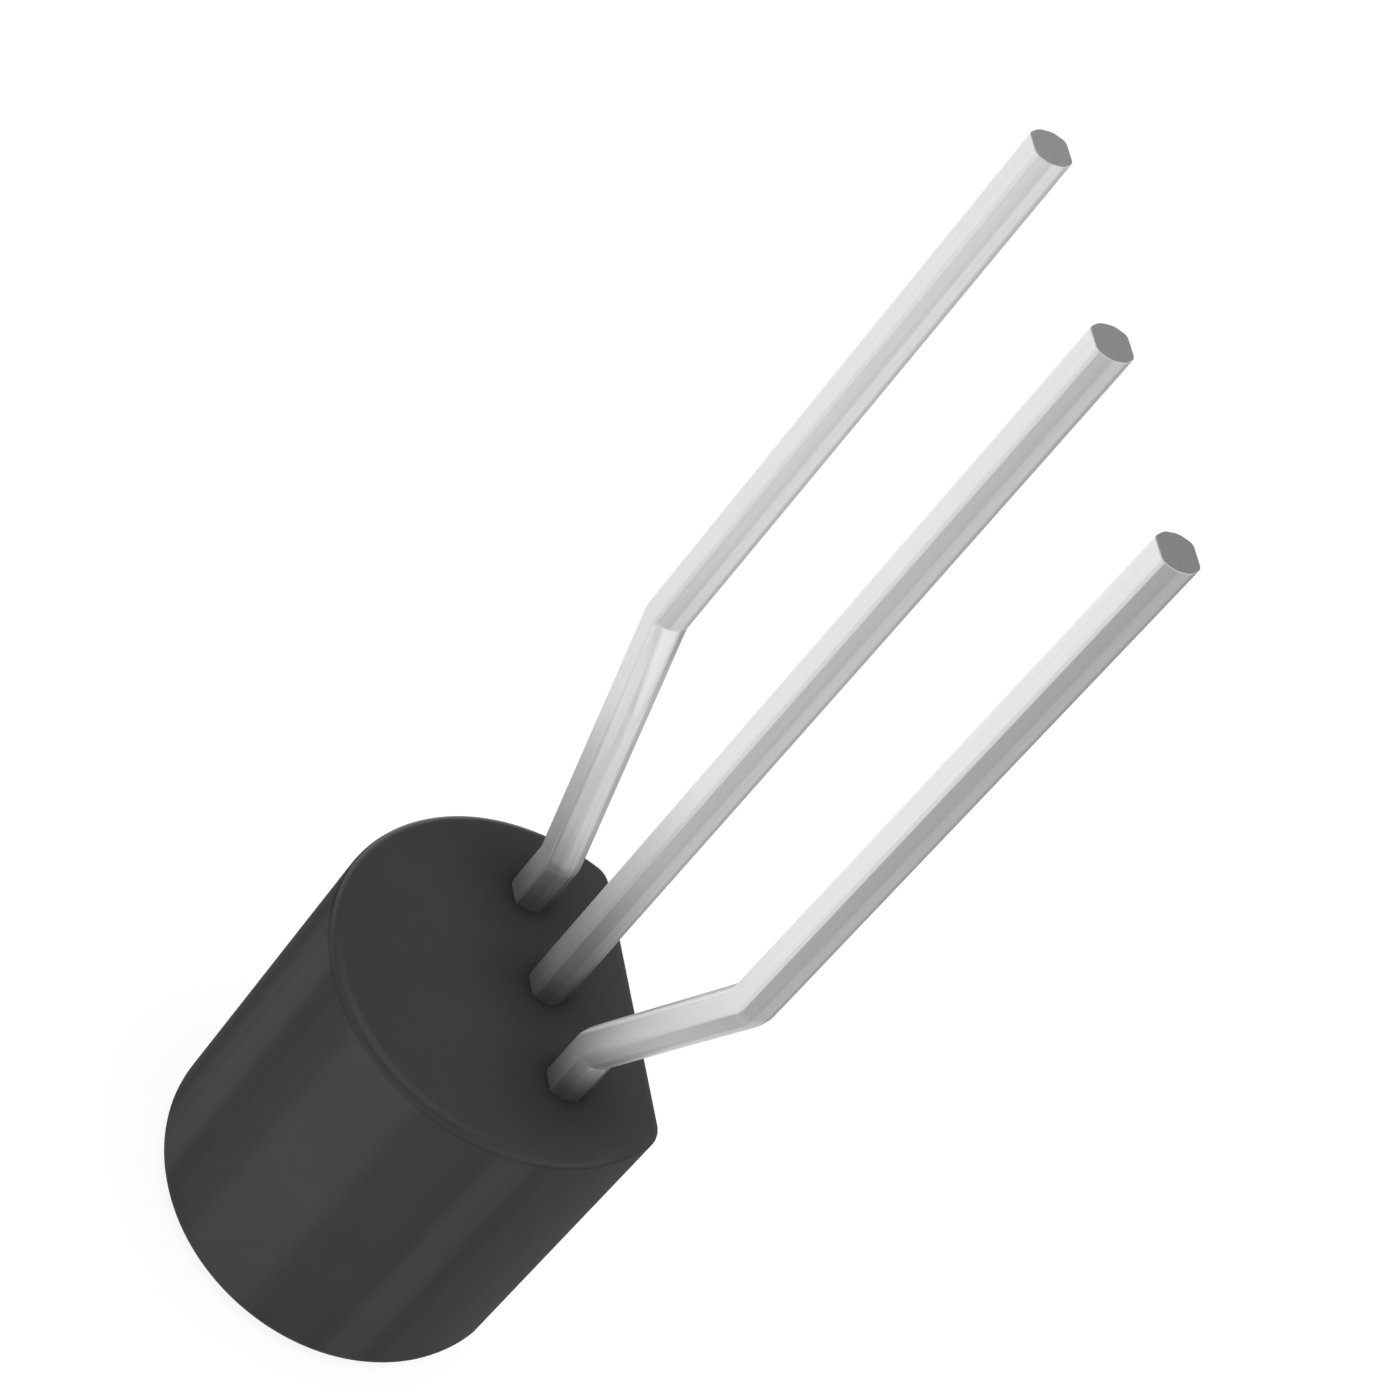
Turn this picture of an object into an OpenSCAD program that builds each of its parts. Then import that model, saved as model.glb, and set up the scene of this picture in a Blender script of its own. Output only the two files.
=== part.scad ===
// Three-lead moulded transistor: a D-shaped case with its outer leads formed out to a wider pitch.
// The case stands on its head face at z = 0 and the leads point along +Z. X runs along the row of leads,
// the flat of the case faces -Y, and the Z axis is the middle lead's own axis.

/* [Case] */
// Radius of the round wall
case_r = 2.35; // [2.2:0.05:2.6]
// Distance from the round wall's centre to the flat
flat_y = 1.53; // [1.3:0.01:1.7]
// Height of the case along the leads
case_h = 4.9; // [4.6:0.1:5.3]
// Radius of the upright corners between the round wall and the flat
corner_r = 0.3; // [0.28:0.01:0.5]
// Rounding of the rim that the leads come out of
exit_rim_r = 0.16; // [0.05:0.01:0.25]
// Rounding of the rim round the head
head_rim_r = 0.27; // [0.05:0.01:0.27]
// Distance of the lead row from the round wall's centre, towards the flat
row_offset = 0.35; // [0.2:0.01:0.5]

/* [Leads] */
// Spacing of the leads where they leave the case
pitch = 1.27; // [1.2:0.01:1.35]
// Spacing of the leads after forming
formed_pitch = 2.54; // [2:0.01:3]
// Width of a lead along the row
lead_w = 0.48; // [0.4:0.01:0.55]
// Thickness of a lead, from flat side to round side
lead_t = 0.45; // [0.38:0.01:0.5]
// How far a lead's broken edges run along the row
edge_w = 0.09; // [0.02:0.01:0.12]
// How far a lead's broken edges run through the thickness
edge_t = 0.14; // [0.02:0.01:0.18]
// Height of the first bend above the case, on the lead's centre line
first_bend_z = 0.75; // [0.6:0.01:1]
// Height of the second bend above the case
second_bend_z = 3.75; // [3:0.05:5]
// Radius on the inside of both bends
bend_in_r = 0.1; // [0.02:0.01:0.4]
// Length of the leads beyond the case
lead_l = 11.65; // [8:0.05:14.5]

/* [Lead frame inside the case] */
// Width of the bonding posts that end the base and emitter leads
post_w = 0.8; // [0.6:0.05:0.85]
// Height of the bonding posts
post_h = 0.8; // [0.5:0.05:0.9]
// Depth of the posts' shoulder below the exit face
post_depth = 0.95; // [0.7:0.05:1.05]
// Gap between the posts and the collector's flag
flag_gap = 0.45; // [0.3:0.05:0.5]
// Width of the flag that carries the chip
flag_w = 2.7; // [2.4:0.05:2.9]
// Height of the flag
flag_h = 1.6; // [1.3:0.05:1.7]
// Radius of the locking notches in the flag's far edge
notch_r = 0.2; // [0.1:0.01:0.25]
// Distance between the two locking notches
notch_gap = 1.3; // [0.9:0.05:1.6]

/* [Chip and bonds] */
// Side of the square chip
chip_w = 0.5; // [0.3:0.01:0.7]
// Thickness of the chip
chip_t = 0.2; // [0.1:0.01:0.3]
// Thickness of the solder under the chip
solder_t = 0.03; // [0.02:0.01:0.05]
// How far the solder shows round the chip
solder_edge = 0.05; // [0.02:0.01:0.1]
// Distance of each bond pad from the middle of the chip
pad_offset = 0.13; // [0.06:0.01:0.15]
// Diameter of the bond wires
wire_d = 0.03; // [0.02:0.005:0.05]
// Diameter of the pressed ball and stitch that end a wire
bond_d = 0.09; // [0.06:0.01:0.12]
// Thickness of the pressed ball and stitch
bond_t = 0.02; // [0.01:0.005:0.03]
// Height of a wire's arch above the straight line between its ends
wire_arch = 0.35; // [0.3:0.01:0.6]

/* [Hidden] */
$fn = 96;

// Upright corners of the case: their centres, and the angle below X where the round wall ends
corner_y = row_offset - flat_y + corner_r;
corner_x = sqrt(pow(case_r - corner_r, 2) - pow(flat_y - corner_r, 2));
wall_end_a = atan2(flat_y - corner_r, corner_x);

// Forming of the outer leads: lean of the sloping stretch, and how much of each leg a bend uses up
form_out = formed_pitch - pitch;
form_a = atan2(form_out, second_bend_z - first_bend_z);
bend_r = bend_in_r + lead_w / 2;
setback = bend_r * tan(form_a / 2);
bend_steps = 8;

// Facets of the bond wires, which are too fine to need round ones
wire_sides = 8;
wire_steps = 8;
bond_sides = 12;

// Heights inside the case, measured down from the exit face
post_end = post_depth + post_h;
flag_top = post_end + flag_gap;
flag_end = flag_top + flag_h;
flag_left = -pitch - lead_w / 2;

// Places on the lead frame, as [along the row, depth below the exit face]
chip_at = [flag_left + flag_w / 2, flag_top + flag_h / 2];
base_pad_at = chip_at - [pad_offset, 0];
emitter_pad_at = chip_at + [pad_offset, 0];
base_post_at = [0, post_depth + post_h / 2];
emitter_post_at = [pitch, post_depth + post_h / 2];

// Levels above the lead row's mid-plane, towards the round wall
frame_face = lead_t / 2;
chip_base = frame_face + solder_t;
chip_face = chip_base + chip_t;

// Half section of an upright wall of radius r, with both of its rims rounded
module wall_profile(r) {
    difference() {
        square([r, case_h]);
        rim_cut(r, head_rim_r);
        translate([0, case_h]) mirror([0, 1]) rim_cut(r, exit_rim_r);
    }
}

// What rounding takes off the lower outer corner of a wall section
module rim_cut(r, rim_r) {
    difference() {
        translate([r - rim_r, 0]) square(rim_r);
        translate([r - rim_r, rim_r]) circle(rim_r);
    }
}

module case_round_wall() {
    translate([0, row_offset, 0])
        rotate([0, 0, -wall_end_a])
            rotate_extrude(angle = 180 + 2 * wall_end_a) wall_profile(case_r);
}

module case_corner() {
    translate([corner_x, corner_y, 0])
        rotate([0, 0, -90])
            rotate_extrude(angle = 90 - wall_end_a) wall_profile(corner_r);
}

module case_flat_wall() {
    translate([-corner_x, corner_y, 0])
        rotate([90, 0, 90])
            linear_extrude(2 * corner_x) mirror([1, 0]) wall_profile(corner_r);
}

// The moulding as it would be without the parts inside it
module case_moulding() {
    case_round_wall();
    case_corner();
    mirror([1, 0, 0]) case_corner();
    case_flat_wall();
    linear_extrude(case_h)
        polygon([[0, row_offset], [-corner_x, corner_y], [corner_x, corner_y]]);
}

module case() {
    color("#2b2b2d")
        difference() {
            case_moulding();
            emitter_lead();
            base_lead();
            collector_lead();
            chip();
            chip_solder();
            base_wire();
            emitter_wire();
        }
}

// Section of a lead: flat faces and broken edges, as [along the row, through the thickness]
lead_outline =
    let (w = lead_w / 2, t = lead_t / 2)
    [
        [w - edge_w, -t], [w, edge_t - t], [w, t - edge_t], [w - edge_w, t],
        [edge_w - w, t], [-w, t - edge_t], [-w, edge_t - t], [edge_w - w, -t]
    ];

// Stations along an outer lead formed towards +X, from a depth inside the case. Each station is
// [out, up, lean], and its lean is the path's own angle from +Z towards +X.
function formed_path(depth) = concat(
    [[0, -depth, 0]],
    [for (i = [0:bend_steps])
        let (a = form_a * i / bend_steps)
        [bend_r * (1 - cos(a)), first_bend_z - setback + bend_r * sin(a), a]],
    [for (i = [bend_steps:-1:0])
        let (a = form_a * i / bend_steps)
        [form_out - bend_r * (1 - cos(a)), second_bend_z + setback - bend_r * sin(a), a]],
    [[form_out, lead_l, 0]]
);

// Sweeps an outline along stations in the XZ plane, square to the path at each
module swept(outline, path) {
    n = len(outline);
    last = len(path) - 1;
    polyhedron(
        points = [for (s = path, p = outline) [s[0] + p.x * cos(s[2]), p.y, s[1] - p.x * sin(s[2])]],
        faces = concat(
            [[for (i = [0:n - 1]) i]],
            [for (k = [0:last - 1], i = [0:n - 1])
                [(k + 1) * n + i, (k + 1) * n + (i + 1) % n, k * n + (i + 1) % n, k * n + i]],
            [[for (i = [n - 1:-1:0]) last * n + i]]
        )
    );
}

// Stamped plate of the lead frame, from a left edge and a depth
module frame_plate(left, depth, w, h) {
    translate([left, -lead_t / 2, -depth - h]) cube([w, lead_t, h]);
}

module emitter_lead() {
    color("#c9cacc")
        translate([pitch, 0, case_h]) {
            swept(lead_outline, formed_path(post_depth));
            frame_plate(-post_w / 2, post_depth, post_w, post_h);
        }
}

module base_lead() {
    color("#c9cacc")
        translate([0, 0, case_h]) {
            translate([0, 0, -post_depth]) linear_extrude(post_depth + lead_l) polygon(lead_outline);
            frame_plate(-post_w / 2, post_depth, post_w, post_h);
        }
}

module collector_lead() {
    color("#c9cacc")
        translate([0, 0, case_h]) {
            translate([-pitch, 0, 0]) mirror([1, 0, 0]) swept(lead_outline, formed_path(flag_top));
            difference() {
                frame_plate(flag_left, flag_top, flag_w, flag_h);
                for (side = [-1, 1])
                    translate([chip_at.x + side * notch_gap / 2, 0, -flag_end])
                        rotate([90, 0, 0]) cylinder(r = notch_r, h = 2 * lead_t, center = true);
            }
        }
}

// Square slab centred on the chip, lying on a level of the lead frame
module chip_slab(w, level, t) {
    translate([chip_at.x - w / 2, level, case_h - chip_at.y - w / 2]) cube([w, t, w]);
}

module chip() {
    color("#5d6470") chip_slab(chip_w, chip_base, chip_t);
}

module chip_solder() {
    color("#9a9a96") chip_slab(chip_w + 2 * solder_edge, frame_face, solder_t);
}

// Section of a bond wire
wire_outline = [for (i = [0:wire_sides - 1]) wire_d / 2 * [cos(360 * i / wire_sides), sin(360 * i / wire_sides)]];

// Wire arched from a pressed ball at the origin to a stitch that lies run away along X and drop below
module bond_wire(run, drop) {
    span = norm([run, drop]);
    fall_a = atan2(drop, run);
    arch_r = (pow(span / 2, 2) + pow(wire_arch, 2)) / (2 * wire_arch);
    half_a = asin(span / 2 / arch_r) + atan2(wire_d, arch_r);
    middle = [run / 2, -drop / 2] - (arch_r - wire_arch) * [sin(fall_a), cos(fall_a)];
    path = [
        for (i = [-wire_steps:wire_steps])
            let (a = fall_a + half_a * i / wire_steps)
            [middle.x + arch_r * sin(a), middle.y + arch_r * cos(a), 90 + a]
    ];
    bond();
    translate([run, 0, -drop]) bond();
    difference() {
        swept(wire_outline, path);
        below_bond();
        translate([run, 0, -drop]) below_bond();
    }
}

// Pressed ball or stitch that ends a wire
module bond() {
    cylinder(d = bond_d, h = bond_t, $fn = bond_sides);
}

// Space under a bond, which trims its wire flush with the face it sits on
module below_bond() {
    s = 4 * bond_d;
    translate([-s / 2, -s / 2, -s]) cube(s);
}

// Bond wire from a pad on the chip to a post
module wire_between(pad_at, post_at) {
    step = post_at - pad_at;
    translate([pad_at.x, chip_face, case_h - pad_at.y])
        rotate([-90, 0, 0])
            rotate([0, 0, atan2(step.y, step.x)]) bond_wire(norm(step), chip_face - frame_face);
}

module base_wire() {
    color("#d9b45b") wire_between(base_pad_at, base_post_at);
}

module emitter_wire() {
    color("#d9b45b") wire_between(emitter_pad_at, emitter_post_at);
}

case();
emitter_lead();
base_lead();
collector_lead();
chip();
chip_solder();
base_wire();
emitter_wire();
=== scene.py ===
import math

import bmesh
import bpy
from mathutils import Matrix, Vector


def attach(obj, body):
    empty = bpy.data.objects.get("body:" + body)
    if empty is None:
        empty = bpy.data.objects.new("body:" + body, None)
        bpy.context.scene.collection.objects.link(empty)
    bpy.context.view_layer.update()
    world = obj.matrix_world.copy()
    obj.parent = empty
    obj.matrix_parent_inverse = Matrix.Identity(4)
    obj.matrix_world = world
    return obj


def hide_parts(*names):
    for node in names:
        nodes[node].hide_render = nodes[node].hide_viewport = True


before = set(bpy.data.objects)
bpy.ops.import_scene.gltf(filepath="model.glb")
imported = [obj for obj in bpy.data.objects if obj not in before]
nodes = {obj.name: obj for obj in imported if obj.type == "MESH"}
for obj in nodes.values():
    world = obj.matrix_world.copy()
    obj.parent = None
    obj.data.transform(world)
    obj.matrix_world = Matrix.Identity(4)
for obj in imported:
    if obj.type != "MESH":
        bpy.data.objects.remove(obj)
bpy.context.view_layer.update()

# Pieces are modelled in millimetres and brought to metres as each one is finished
millimetre = 0.001
# Corners this near to each other are one, and so are faces that turn this little
mergeDistance = 0.0005
flatTurn = math.radians(0.5)
# Corners this near to a level lie on it
levelMargin = 0.001


def vertsOf(geom):
    return [item for item in geom if isinstance(item, bmesh.types.BMVert)]


def lowestOf(edge):
    return min(vert.co.z for vert in edge.verts)


def roundEdges(bm, edges, radius, steps, clamp, material):
    bmesh.ops.bevel(bm, geom=edges, offset=radius, offset_type="OFFSET", segments=steps, profile=0.5,
                    affect="EDGES", clamp_overlap=clamp, material=material)


def putInScene(bm, name):
    mesh = bpy.data.meshes.new(name)
    bm.to_mesh(mesh)
    bm.free()
    piece = bpy.data.objects.new(name, mesh)
    bpy.context.scene.collection.objects.link(piece)
    return piece


def applyModifiers(piece):
    shown = piece.evaluated_get(bpy.context.evaluated_depsgraph_get())
    mesh = bpy.data.meshes.new_from_object(shown)
    piece.modifiers.clear()
    piece.data = mesh


def finishPiece(piece, materials, slot, *replaced):
    # Weighted normals keep the flats flat and let only the roundings shade
    for face in piece.data.polygons:
        face.use_smooth = True
    weighted = piece.modifiers.new("flat faces", "WEIGHTED_NORMAL")
    weighted.mode = "FACE_AREA"
    weighted.weight = 100  # the largest face decides
    applyModifiers(piece)
    piece.data.transform(Matrix.Scale(millimetre, 4))
    for material in materials:
        piece.data.materials.append(material)
    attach(piece, "root")
    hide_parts(*replaced)


def copyOfNode(name):
    # The node's loose triangles as one closed mesh with its flat faces whole again
    bm = bmesh.new()
    bm.from_mesh(nodes[name].data)
    bmesh.ops.scale(bm, vec=[1 / millimetre] * 3, verts=bm.verts)
    bmesh.ops.remove_doubles(bm, verts=bm.verts, dist=mergeDistance)
    bmesh.ops.dissolve_limit(bm, angle_limit=flatTurn, verts=bm.verts, edges=bm.edges)
    return bm


class Wire:
    # An output of a node that can be written in sums
    def __init__(self, finish, socket):
        self.finish = finish
        self.socket = socket

    def __add__(self, other):
        return self.finish.maths("ADD", self, other)

    def __sub__(self, other):
        return self.finish.maths("SUBTRACT", self, other)

    def __rsub__(self, other):
        return self.finish.maths("SUBTRACT", other, self)

    def __mul__(self, other):
        return self.finish.maths("MULTIPLY", self, other)

    def __abs__(self):
        return self.finish.maths("ABSOLUTE", self)

    __radd__ = __add__
    __rmul__ = __mul__


class Finish:
    # The nodes of a material or of the world
    def __init__(self, owner):
        self.owner = owner
        owner.use_nodes = True
        self.tree = owner.node_tree
        self.tree.nodes.clear()

    def node(self, kind, settings=None, values=None, output=0):
        made = self.tree.nodes.new("ShaderNode" + kind)
        for key, value in (settings or {}).items():
            if key == "stops":
                # A new ramp already has two stops
                ramp = made.color_ramp
                for index, (place, tone) in enumerate(value):
                    stop = ramp.elements[index] if index < 2 else ramp.elements.new(place)
                    stop.position = place
                    stop.color = (tone, tone, tone, 1)
            elif key == "blend":
                made.color_ramp.interpolation = value
            else:
                setattr(made, key, value)
        for key, value in (values or {}).items():
            if isinstance(value, Wire):
                self.tree.links.new(value.socket, made.inputs[key])
            else:
                made.inputs[key].default_value = value
        return Wire(self, made.outputs[output]) if made.outputs else None

    def surface(self, values):
        self.node("OutputMaterial", {}, {"Surface": self.node("BsdfPrincipled", {}, values)})
        return self.owner

    def maths(self, operation, first, second=0.0):
        return self.node("Math", {"operation": operation}, {0: first, 1: second})

    def axes(self, vector):
        parted = self.node("SeparateXYZ", {}, {"Vector": vector}).socket.node
        return [Wire(self, socket) for socket in parted.outputs]

    def place(self, scale=(1, 1, 1)):
        # Object coordinates in millimetres, stretched by the scale
        here = self.node("TexCoord", output="Object")
        inMillimetres = [factor / millimetre for factor in scale]
        return self.node("Mapping", {}, {"Vector": here, "Scale": inMillimetres})

    def distance(self, first, second):
        return self.maths("SQRT", first * first + second * second)

    def fade(self, value, start, end, first=0.0, last=1.0):
        span = {"Value": value, "From Min": start, "From Max": end, "To Min": first, "To Max": last}
        return self.node("MapRange", {"interpolation_type": "SMOOTHSTEP"}, span)

    def ramp(self, value, stops):
        # Tones may pass 1, so the ramp holds half of each
        half = [(place, tone / 2) for place, tone in stops]
        return 2 * self.node("ValToRGB", {"stops": half, "blend": "EASE"}, {0: value})

    def noise(self, vector, scale, detail, roughness=0.5):
        return self.node("TexNoise", {}, {"Vector": vector, "Scale": scale, "Detail": detail,
                                          "Roughness": roughness})

    def mottle(self, noise, spread):
        # A factor that wanders round 1
        return 1 - spread / 2 + spread * noise

    def bump(self, height, depth):
        return self.node("Bump", {}, {"Height": height, "Distance": depth * millimetre, "Strength": 1.0})

    def grey(self, tone):
        # A tone as a neutral colour
        return self.node("CombineColor", {}, {"Red": tone, "Green": tone, "Blue": tone})


case = {
    "wallRadius": 2.35,
    "height": 4.9,
    "flatToCentre": 1.53,
    "cornerRadius": 0.3,
    "centreY": 0.35,
    "exitRim": 0.16,
    "headRim": 0.27,
    "wallSteps": 200,
    "cornerSteps": 14,
    "rimSteps": 8,
    "tone": 0.05,
    # The share of the tone that the two ends have, and its change with each millimetre towards the back,
    # which is painted light
    "endTone": 0.87,
    "endPaintedLightAlong": -0.045,
    "roughness": 0.85,
    "roughnessSpread": 0.1,
    "shine": 0.2,
    "grainSize": 0.05,
    "grainDetail": 3.0,
    "grainRoughness": 0.6,
    "grainHeight": 0.002,
    "cloudScale": 0.9,
    "cloudDetail": 2.0,
    "cloudSpread": 0.16,
    # The wall's share of the tone, the painted reflection streaks by their angle round from the back,
    # half width and change of that share, and the part of each width that is even
    "wallTone": 0.81,
    "paintedReflectionStreaks": [(-134, 25, -0.15), (-87, 7, -0.09), (-80, 8, 0.26), (-60, 10, 0.1), (-35, 21, 0.48),
                  (-14, 6, 0.12), (4, 8, 0.35), (16, 8, 0.1), (27, 14, -0.52), (60, 14, 0.3), (95, 9, 0.1),
                  (140, 12, 0.15)],
    "streakCore": 0.4,
    # Wall, rims and ends are told apart by the square of how far a face looks up or down
    "wallLean": (0.3, 0.0),
    "rimLean": (0.12, 0.35),
    "rimEndLean": (1.0, 0.94),
    # The rims are smoother, up to this far round from the back in degrees
    "rimRoughness": 0.33,
    "rimTurn": (116, 100),
    # A painted dark line where the wall turns into the rim at the leads
    "rimPaintedDarkLine": [(0.05, 1.0), (0.3, 0.84), (0.45, 1.0)],
    # Painted shade where the resin meets the leads: near and far distance, and the tone at the near one
    "paintedShadeWide": (0.2, 1.3, 0.72),
    "paintedShadeClose": (0.22, 0.42, 0.72),
}


def caseOutline(bm):
    reach = case["flatToCentre"] - case["cornerRadius"]
    cornerX = math.sqrt((case["wallRadius"] - case["cornerRadius"]) ** 2 - reach ** 2)
    cornerY = case["centreY"] - reach
    wallEnd = math.atan2(reach, cornerX)
    start = (case["wallRadius"] * math.cos(wallEnd),
             case["centreY"] - case["wallRadius"] * math.sin(wallEnd), 0)
    vert = bmesh.ops.create_vert(bm, co=start)["vert"][0]

    def turn(vert, centre, angle, steps):
        made = bmesh.ops.spin(bm, geom=[vert], cent=centre, axis=(0, 0, 1), angle=angle, steps=steps,
                              use_merge=False, use_duplicate=False)
        return vertsOf(made["geom_last"])[0]

    vert = turn(vert, (0, case["centreY"], 0), math.pi + 2 * wallEnd, case["wallSteps"])
    vert = turn(vert, (-cornerX, cornerY, 0), math.pi / 2 - wallEnd, case["cornerSteps"])
    vert = bmesh.ops.extrude_vert_indiv(bm, verts=[vert])["verts"][0]
    bmesh.ops.translate(bm, vec=(2 * cornerX, 0, 0), verts=[vert])
    turn(vert, (cornerX, cornerY, 0), math.pi / 2 - wallEnd, case["cornerSteps"])
    bmesh.ops.remove_doubles(bm, verts=bm.verts, dist=mergeDistance)
    bmesh.ops.contextual_create(bm, geom=list(bm.edges))


def buildCase(inside):
    bm = bmesh.new()
    caseOutline(bm)
    made = bmesh.ops.extrude_face_region(bm, geom=list(bm.faces), use_keep_orig=True)
    bmesh.ops.translate(bm, vec=(0, 0, case["height"]), verts=vertsOf(made["geom"]))
    bmesh.ops.recalc_face_normals(bm, faces=bm.faces)
    for level, radius in ((case["height"], case["exitRim"]), (0, case["headRim"])):
        rim = [edge for edge in bm.edges if all(abs(vert.co.z - level) < levelMargin for vert in edge.verts)]
        roundEdges(bm, rim, radius, case["rimSteps"], clamp=False, material=-1)
    piece = putInScene(bm, "caseMoulding")
    # The epoxy is moulded round what it holds
    for core in inside:
        cavity = piece.modifiers.new("cavity", "BOOLEAN")
        cavity.operation = "DIFFERENCE"
        cavity.solver = "EXACT"
        cavity.object = core
    applyModifiers(piece)
    return piece


def mouldedEpoxy():
    finish = Finish(bpy.data.materials.new("mouldedEpoxy"))
    here = finish.place()
    across, along = finish.axes(here)[:2]
    rise = finish.axes(finish.node("NewGeometry", output="Normal"))[2]
    lean = rise * rise
    fromCentre = along - case["centreY"]
    turn = finish.maths("ARCTAN2", across, fromCentre) * (180 / math.pi)
    grain = finish.noise(here, 1 / case["grainSize"], case["grainDetail"], case["grainRoughness"])
    cloud = finish.noise(here, case["cloudScale"], case["cloudDetail"])

    # Painted reflection streaks run up the wall
    wall = case["wallTone"]
    for angle, width, change in case["paintedReflectionStreaks"]:
        wall = wall + finish.fade(abs(turn - angle), width, case["streakCore"] * width, 0.0, change)
    # Painted light changes across the ends
    end = case["endTone"] + case["endPaintedLightAlong"] * fromCentre
    # Painted shade round the roots of the leads
    nearest = finish.maths("MINIMUM", finish.distance(across, along),
                           finish.distance(abs(across) - lead["pitch"], along))
    paintedRootShade = finish.fade(nearest, *case["paintedShadeWide"]) * finish.fade(nearest, *case["paintedShadeClose"])
    tone = case["tone"] * finish.mottle(cloud, case["cloudSpread"])
    tone = tone * (end + finish.fade(lean, *case["wallLean"]) * (wall - end))
    # Painted shade round the roots and a painted dark line at the exit rim
    tone = tone * paintedRootShade * finish.ramp(rise, case["rimPaintedDarkLine"])

    rim = finish.fade(lean, *case["rimLean"]) * finish.fade(lean, *case["rimEndLean"])
    rim = rim * finish.fade(abs(turn), *case["rimTurn"])
    roughness = case["roughness"] + (case["rimRoughness"] - case["roughness"]) * rim
    return finish.surface({
        "Base Color": finish.grey(tone),
        "Roughness": roughness + case["roughnessSpread"] * (grain - 0.5),
        "Specular IOR Level": case["shine"],
        "Normal": finish.bump(grain, case["grainHeight"]),
    })


lead = {
    "pieces": {"emitterLead": "emitter_lead", "baseLead": "base_lead", "collectorLead": "collector_lead"},
    "pitch": 1.27,
    "firstBend": 0.75,
    "secondBend": 3.75,
    "tipHeight": 16.55,
    # Edges that turn more than this are softened, from this far inside the case
    "sharpTurn": math.radians(15),
    "hiddenLength": 2,
    "softEdge": 0.045,
    "tipEdge": 0.012,
    "edgeSteps": 3,
    "metallic": 0.85,
    "roughness": 0.6,
    "roughnessSpread": 0.1,
    "drawnShine": 0.8,
    "lineScale": (22, 22, 0.35),
    "lineDetail": 3.0,
    "lineSpread": 0.16,
    "lineHeight": 0.001,
    # Tones of the rolled flats and of the sheared sides, and their change with each millimetre of the row,
    # which is painted light
    "flatTone": 0.9,
    "flatPaintedLightAlongRow": -0.006,
    "sideTone": 0.687,
    "sidePaintedLightAlongRow": 0.063,
    # Tones round a lead, partly its finish and partly painted shade by which way a face looks, from its
    # front at 0, on the side of the case's flat, to its back at 1
    "edges": [(0.15, 0.63), (0.3, 0.63), (0.4, 1.0), (0.55, 1.0), (0.65, 0.885), (0.75, 0.935)],
    "paintedCreaseLines": [(0.52, 1.0), (0.62, 1.1), (0.72, 1.0), (0.81, 1.0), (0.91, 0.84), (0.99, 1.0)],
    # The fades below have a start and an end, and their tones there where these aren't 0 and 1.
    # Painted light on the slopes' upper sides: by how they look up, round the lead at the foot and at the
    # head, up from the lower bend, and by how they look towards the emitter lead
    "upSlope": (0.05, 0.25),
    "upFoot": (-0.5, 0.5, 1.5, 1.05),
    "upHead": (0.0, 0.5, 1.13, 1.42),
    "upStart": (0.0, 0.25, 0.6, 1.0),
    "upFar": (0.2, 0.6, 1.0, 0.86),
    # Painted light on their lower sides: by how they look down, its tones at foot and head, its share from
    # the sheared side to the flats, how late it starts from front to back, and up from the lower bend
    "downSlope": (0.0, -0.2),
    "downTones": (1.75, 1.15),
    "downShare": (0.1, 0.5, 0.8, 1.0),
    "downLate": (0.1, 0.5, 0.3, 0.0),
    "downStart": (-0.2, 0.05, 0.7, 1.0),
    # Painted shade and highlight lines show along the creases on the upper sides, and the painted shade by
    # the front edge has tones at foot and head
    "creaseSlope": (0.03, 0.15),
    "paintedLowCreaseShade": (-0.46, -0.68),
    "lowCreaseTones": (0.85, 0.5),
    # The flats' bright tone, partly painted light, runs on over the edges that look towards the emitter
    # lead, and less on a slope
    "shineOver": 0.35,
    "shineStart": (0.05, 0.2, 0.62, 0.85),
    "shineFull": 0.995,
    # The painted root shade and the painted patches of light and shade have one tone on the sheared sides
    # and one on the flats
    "sideToFlat": (0.5, 1.0),
    "rootHeight": 0.77,
    "rootTones": (0.47, 0.57),
    # Painted patches of light and shade: the middle, how far it is even and how far it fades
    "pressed": [
        {"across": 1.65, "height": 6.4, "core": 0.2, "edge": 1.55, "tones": (0.84, 0.75)},
        {"across": 0.0, "height": 7.6, "core": 0.0, "edge": 1.4, "tones": (1.07, 0.87)},
        {"across": 1.27, "height": 5.25, "core": 0.2, "edge": 0.9, "tones": (0.97, 1.25)},
    ],
    "cutTone": 0.695,
    "cutPaintedLightAlongRow": 0.015,
    "cutRoughness": 0.5,
    "cutScale": (6, 60, 6),
    "cutDetail": 3.0,
    "cutSpread": 0.16,
    "cutHeight": 0.003,
}


def buildLead(name, node):
    bm = copyOfNode(node)
    tipLevel = lead["tipHeight"] - levelMargin
    hiddenLevel = case["height"] - lead["hiddenLength"]
    for face in bm.faces:
        face.material_index = 1 if face.calc_center_median().z > tipLevel else 0

    def sharpEdges():
        return [edge for edge in bm.edges if edge.calc_face_angle(0) > lead["sharpTurn"]]

    sides = [edge for edge in sharpEdges() if hiddenLevel < lowestOf(edge) < tipLevel]
    roundEdges(bm, sides, lead["softEdge"], lead["edgeSteps"], clamp=True, material=0)
    rim = [edge for edge in sharpEdges() if lowestOf(edge) > tipLevel]
    roundEdges(bm, rim, lead["tipEdge"], lead["edgeSteps"], clamp=True, material=1)
    return putInScene(bm, name)


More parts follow.
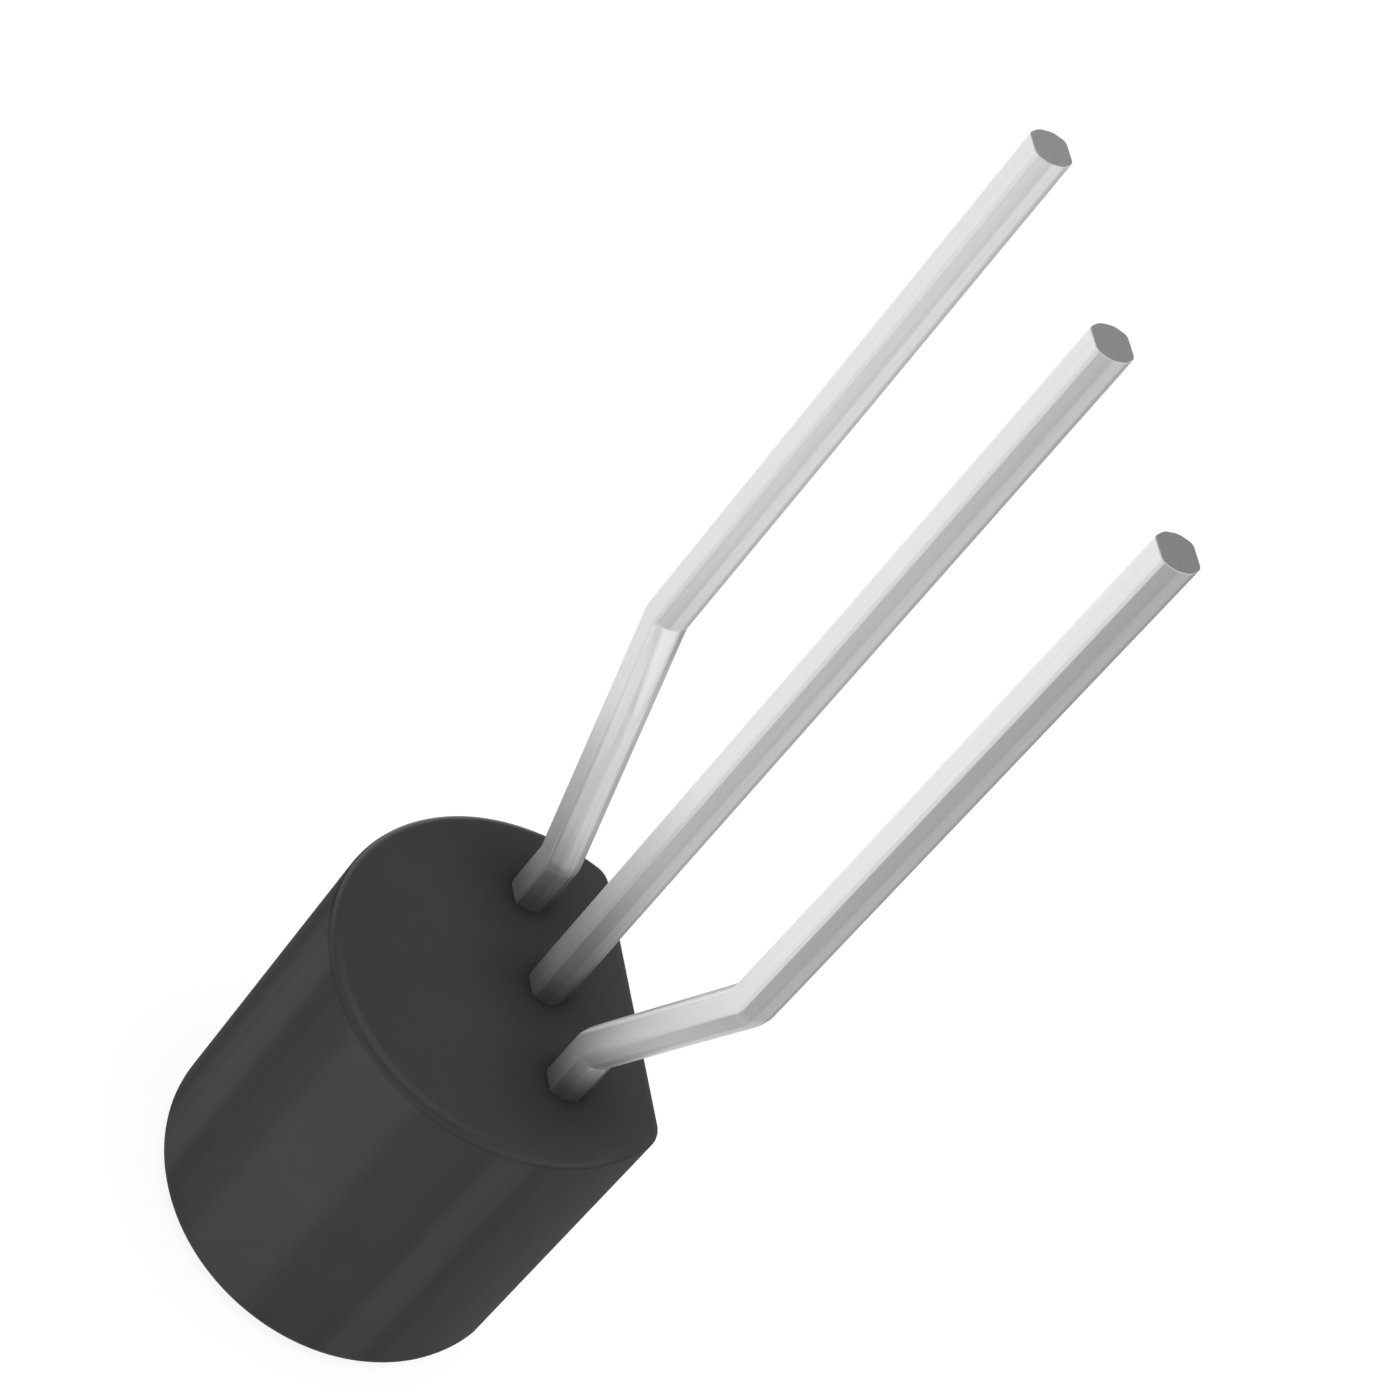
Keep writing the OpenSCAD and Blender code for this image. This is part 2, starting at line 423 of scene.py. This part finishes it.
def tinnedLead():
    finish = Finish(bpy.data.materials.new("tinnedLead"))
    across, along, up = finish.axes(finish.place())
    sideways, facing, rise = finish.axes(finish.node("NewGeometry", output="Normal"))
    broad = abs(facing)
    around = 0.5 + 0.5 * facing
    toEmitter = finish.maths("MAXIMUM", sideways, 0.0)
    # The way up from the lower bend at 0 to the upper one at 1
    climb = finish.node("MapRange", {}, {"Value": up, "From Min": case["height"] + lead["firstBend"],
                                         "From Max": case["height"] + lead["secondBend"]})

    # Drawn lines follow each lead round its bends
    outward = abs(across)
    outer = finish.maths("GREATER_THAN", outward, lead["pitch"] / 2)
    aside = outward - lead["pitch"] * (1 + climb) * outer
    straightened = finish.node("CombineXYZ", {}, {"X": aside, "Y": along, "Z": up})
    stretched = finish.node("Mapping", {}, {"Vector": straightened, "Scale": lead["lineScale"]})
    lines = finish.noise(stretched, 1.0, lead["lineDetail"])

    # The rolled flats are bright, and the sheared sides and broken edges duller, partly by their finish and
    # partly by painted shade by which way they face; the change along the row is painted light
    side = (lead["sideTone"] + lead["sidePaintedLightAlongRow"] * across) * finish.ramp(around, lead["edges"])

    # Painted light on the slopes, on their upper and their lower sides
    foot, head = finish.fade(facing, *lead["upFoot"]), finish.fade(facing, *lead["upHead"])
    paintedSlopeLight = (foot + (head - foot) * climb) * finish.fade(climb, *lead["upStart"])
    paintedSlopeLight = paintedSlopeLight * finish.fade(sideways, *lead["upFar"])
    side = side * (1 + finish.fade(rise, *lead["upSlope"]) * (paintedSlopeLight - 1))
    foot, head = lead["downTones"]
    paintedSlopeLight = (foot - 1 + (head - foot) * climb) * finish.fade(broad, *lead["downShare"])
    paintedSlopeLight = paintedSlopeLight * finish.fade(climb - finish.fade(facing, *lead["downLate"]), *lead["downStart"])
    side = side * (1 + finish.fade(rise, *lead["downSlope"]) * paintedSlopeLight)

    # Painted shade and highlight lines along the creases of the upper sides
    foot, head = lead["lowCreaseTones"]
    paintedLowCreaseShade = finish.fade(facing + toEmitter, *lead["paintedLowCreaseShade"], 1.0, foot + (head - foot) * climb)
    paintedCreaseLines = finish.ramp(around, lead["paintedCreaseLines"]) * paintedLowCreaseShade
    paintedCreaseLines = 1 + finish.fade(rise, *lead["creaseSlope"]) * (paintedCreaseLines - 1)

    # The flats' bright tone is partly painted light
    flat = lead["flatTone"] + lead["flatPaintedLightAlongRow"] * across
    shineStart = finish.fade(abs(rise), *lead["shineStart"])
    shine = finish.fade(broad + lead["shineOver"] * toEmitter, shineStart, lead["shineFull"])
    tone = (side + (flat - side) * shine) * paintedCreaseLines * finish.mottle(lines, lead["lineSpread"])

    # Painted shade where the case shades the roots, and painted patches of light and shade
    root = finish.fade(broad, *lead["sideToFlat"], *lead["rootTones"])
    tone = tone * finish.fade(up, case["height"], case["height"] + lead["rootHeight"], root)
    for mark in lead["pressed"]:
        away = finish.distance(across - mark["across"], up - mark["height"])
        pressed = finish.fade(broad, *lead["sideToFlat"], *mark["tones"])
        tone = tone * finish.fade(away, mark["core"], mark["edge"], pressed)

    return finish.surface({
        "Base Color": finish.grey(finish.maths("MINIMUM", tone, 1.0)),
        "Metallic": lead["metallic"],
        "Roughness": lead["roughness"] + lead["roughnessSpread"] * (lines - 0.5),
        "Anisotropic": lead["drawnShine"],
        "Normal": finish.bump(lines, lead["lineHeight"]),
    })


def cutEnd():
    # The cut leaves fine streaks along the row
    finish = Finish(bpy.data.materials.new("cutEnd"))
    torn = finish.noise(finish.place(lead["cutScale"]), 1.0, lead["cutDetail"])
    # The change of tone along the row is painted light
    tone = lead["cutTone"] + lead["cutPaintedLightAlongRow"] * finish.axes(finish.place())[0]
    return finish.surface({
        "Base Color": finish.grey(tone * finish.mottle(torn, lead["cutSpread"])),
        "Metallic": 1.0,
        "Roughness": lead["cutRoughness"],
        "Normal": finish.bump(torn, lead["cutHeight"]),
    })


# What the case holds
held = {
    "chip": {"tone": 0.12, "metallic": 0.0, "roughness": 0.2},
    "chip_solder": {"tone": 0.55, "metallic": 1.0, "roughness": 0.45},
    "base_wire": {"tone": 0.75, "metallic": 1.0, "roughness": 0.25},
    "emitter_wire": {"tone": 0.75, "metallic": 1.0, "roughness": 0.25},
}
heldMottle = {"scale": 12.0, "detail": 2.0, "spread": 0.3}


def heldFinish(name, look):
    finish = Finish(bpy.data.materials.new(name + "Finish"))
    noise = finish.noise(finish.place(), heldMottle["scale"], heldMottle["detail"])
    return finish.surface({
        "Base Color": finish.grey(look["tone"] * finish.mottle(noise, heldMottle["spread"])),
        "Metallic": look["metallic"],
        "Roughness": look["roughness"],
    })


studio = {
    "floorSize": 1.2,
    "floorSquares": 4,
    "floorTone": 0.8,
    "whiteShare": 0.8,
    "whiteStrength": 1.1,
    "skyLight": 0.9,
    # The sky that shines in metal, from the horizon up to overhead
    "reflectedSky": [(0.0, 1.5), (0.12, 1.5), (0.3, 0.2)],
    # Its bright patches: direction, edge and core as cosines, and strength
    "patches": [((0.1, 0.45, 0.88), 0.78, 0.92, 1.2), ((-0.8, -0.33, 0.5), 0.9, 0.97, 0.7)],
    "lamps": {
        "key": {"place": (-0.03, -0.03, 0.3), "size": 0.2, "power": 0.3},
    },
    "aim": (0, 0, 0.008),
}

view = {
    "place": (-24.1543, 22.2040, 38.6142),
    "turn": (40.8674, -29.0420, -101.9100),
    "lens": 105.9757,
    "sensor": 36,
    "near": 0.001,
    "far": 10,
}


def whiteToTheEye(finish, lit):
    # The camera, mirrors and glass see nearly plain white, with the shadow still on it
    camera, mirror, glass = [finish.node("LightPath", output=ray) for ray in
                             ("Is Camera Ray", "Is Glossy Ray", "Is Transmission Ray")]
    seen = finish.maths("MINIMUM", camera + mirror + glass, 1.0)
    white = finish.node("Emission", {}, {"Strength": studio["whiteStrength"]})
    return finish.node("MixShader", {}, {0: seen * studio["whiteShare"], 1: lit, 2: white})


def buildFloor():
    bm = bmesh.new()
    squares = studio["floorSquares"]
    bmesh.ops.create_grid(bm, x_segments=squares, y_segments=squares, size=studio["floorSize"] / 2)
    floor = putInScene(bm, "floor")
    finish = Finish(bpy.data.materials.new("paleFloor"))
    lit = finish.node("BsdfDiffuse", {}, {"Color": [studio["floorTone"]] * 3 + [1]})
    finish.node("OutputMaterial", {}, {"Surface": whiteToTheEye(finish, lit)})
    floor.data.materials.append(finish.owner)


def buildSky():
    # White to the camera, patchy in metal and even as light
    world = bpy.data.worlds.new("studio")
    bpy.context.scene.world = world
    sky = Finish(world)
    camera, mirror = [sky.node("LightPath", output=ray) for ray in ("Is Camera Ray", "Is Glossy Ray")]
    toward = sky.node("TexCoord", output="Generated")
    shine = sky.ramp(sky.axes(toward)[2], studio["reflectedSky"])
    for middle, edge, core, strength in studio["patches"]:
        near = sky.node("VectorMath", {"operation": "DOT_PRODUCT"}, {0: toward, 1: middle}, output="Value")
        shine = shine + sky.fade(near, edge, core, 0.0, strength)
    reflected = sky.node("Background", {}, {"Color": sky.grey(shine)})
    lighting = sky.node("Background", {}, {"Strength": studio["skyLight"]})
    lit = sky.node("MixShader", {}, {0: mirror, 1: lighting, 2: reflected})
    white = sky.node("Background")
    sky.node("OutputWorld", {}, {"Surface": sky.node("MixShader", {}, {0: camera, 1: lit, 2: white})})


def hangLamps():
    for name, lamp in studio["lamps"].items():
        light = bpy.data.lights.new(name, "AREA")
        light.shape = "SQUARE"
        light.size = lamp["size"]
        light.energy = lamp["power"]
        holder = bpy.data.objects.new(name, light)
        toAim = Vector(studio["aim"]) - Vector(lamp["place"])
        holder.location = lamp["place"]
        holder.rotation_euler = toAim.to_track_quat("-Z", "Y").to_euler()
        holder.visible_camera = False
        holder.visible_glossy = False
        bpy.context.scene.collection.objects.link(holder)


def buildCamera():
    data = bpy.data.cameras.new("camera")
    data.sensor_width = view["sensor"]
    data.lens = view["lens"]
    data.clip_start = view["near"]
    data.clip_end = view["far"]
    camera = bpy.data.objects.new("camera", data)
    camera.location = [value * millimetre for value in view["place"]]
    camera.rotation_euler = [math.radians(value) for value in view["turn"]]
    bpy.context.scene.collection.objects.link(camera)
    bpy.context.scene.camera = camera


print("building the leads")
leads = {name: buildLead(name, node) for name, node in lead["pieces"].items()}

print("moulding the case round them")
cores = [putInScene(copyOfNode(name), name + "Core") for name in nodes if name != "case"]
moulding = buildCase(cores)
for core in cores:
    bpy.data.objects.remove(core)

print("finishes")
finishPiece(moulding, [mouldedEpoxy()], "moulding", "case")
tinned, cut = tinnedLead(), cutEnd()
for name, node in lead["pieces"].items():
    finishPiece(leads[name], [tinned, cut], "tinned_lead", node)
for name, look in held.items():
    nodes[name].data.materials.clear()
    nodes[name].data.materials.append(heldFinish(name, look))

print("studio and camera")
buildFloor()
buildSky()
hangLamps()
buildCamera()
bpy.context.scene.view_settings.view_transform = "Standard"
